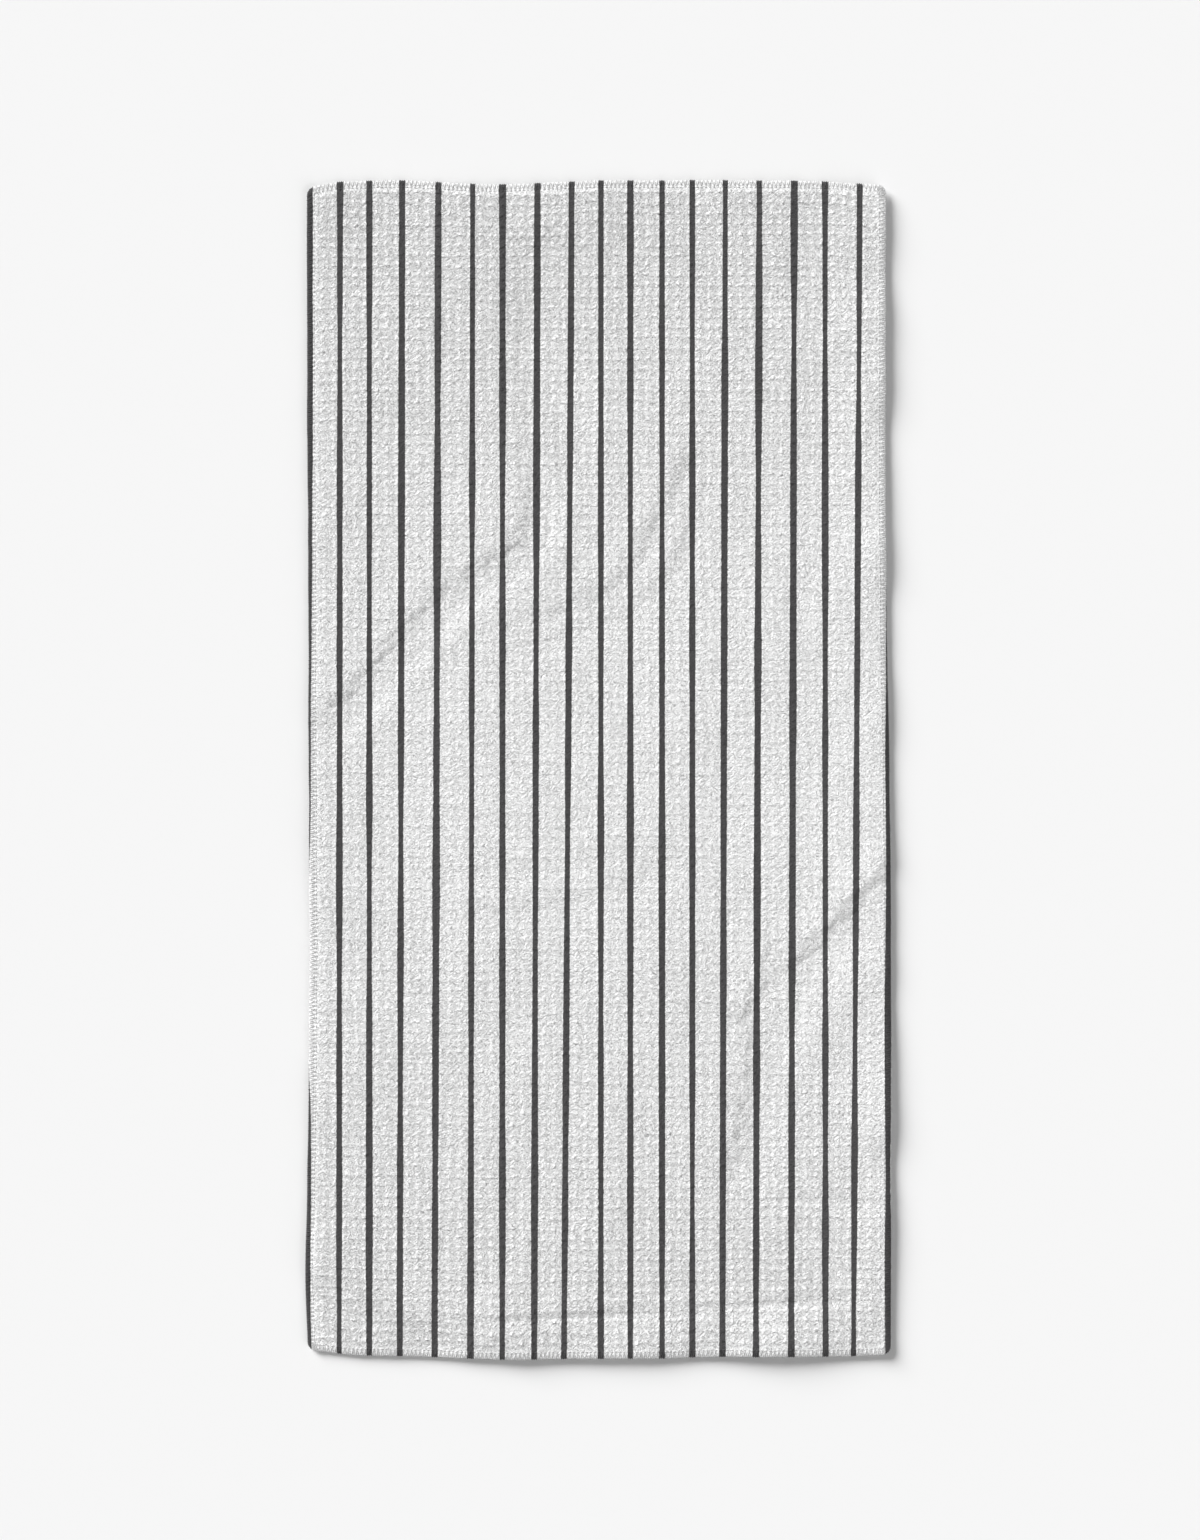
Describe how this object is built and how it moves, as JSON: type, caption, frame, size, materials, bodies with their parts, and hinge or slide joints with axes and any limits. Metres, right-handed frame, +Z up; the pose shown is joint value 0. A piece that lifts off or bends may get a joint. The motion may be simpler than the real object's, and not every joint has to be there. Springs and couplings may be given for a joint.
{
  "type": "golf towel",
  "caption": "Flat rectangular golf towel of waffle-textured microfibre with narrow dark lengthwise pinstripes, rounded corners and an overlocked edge, lying face up.",
  "frame": {"origin": "middle of the underside, on the surface the towel lies on", "axes": "+X across the width, +Y along the length and along the stripes, +Z up out of the printed face"},
  "size_m": [0.406, 0.824, 0.003],
  "materials": {
    "cloth": "matte",
    "thread": "satin"
  },
  "bodies": {
    "root": {"towel_cloth": "cloth", "needle_thread": "thread", "upper_looper_thread": "thread", "lower_looper_thread": "thread"}
  },
  "joints": []
}
